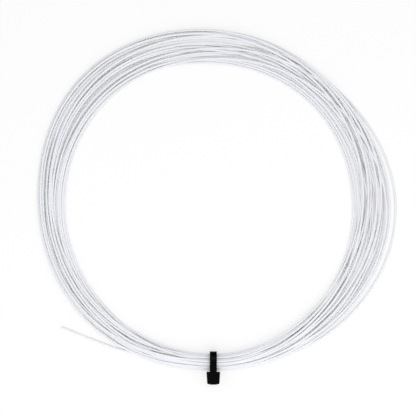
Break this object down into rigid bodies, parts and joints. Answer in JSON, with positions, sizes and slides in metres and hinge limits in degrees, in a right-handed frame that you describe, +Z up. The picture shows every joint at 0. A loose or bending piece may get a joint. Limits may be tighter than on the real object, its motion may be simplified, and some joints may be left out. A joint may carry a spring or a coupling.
{
  "type": "coil of racket string",
  "caption": "Flat ring of one plain racket string, wound in layers, fanned out round the ring and bound at one side by a ratchet cable tie; one end stands loose.",
  "frame": {"origin": "middle of the ring's hole, on the surface that the ring lies on", "axes": "+Z up from that surface; -Y towards the cable tie; the loose end is on the -X side of the tie"},
  "size_m": [0.1857, 0.1831, 0.0097],
  "materials": {
    "string": "smooth, slightly translucent white monofilament",
    "tie": "black moulded nylon, satin to glossy"
  },
  "bodies": {
    "string": {"string_coil": "string", "string_loose_end": "string"},
    "tie": {"cable_tie": "tie"},
    "pawl": {"tie_pawl": "tie"}
  },
  "joints": [
    {"name": "tie_slide_round_ring", "type": "hinge", "parent": "string", "child": "tie", "pos_m": [0, 0, 0], "axis": [0, 0, 1], "range_deg": [-4, 4]},
    {"name": "pawl_hinge", "type": "hinge", "parent": "tie", "child": "pawl", "pos_m": [0, -0.08548, 0.00597], "axis": [1, 0, 0], "range_deg": [0, 8], "stiffness_Nm_per_rad": 0.004, "springref_deg": -1.15}
  ]
}
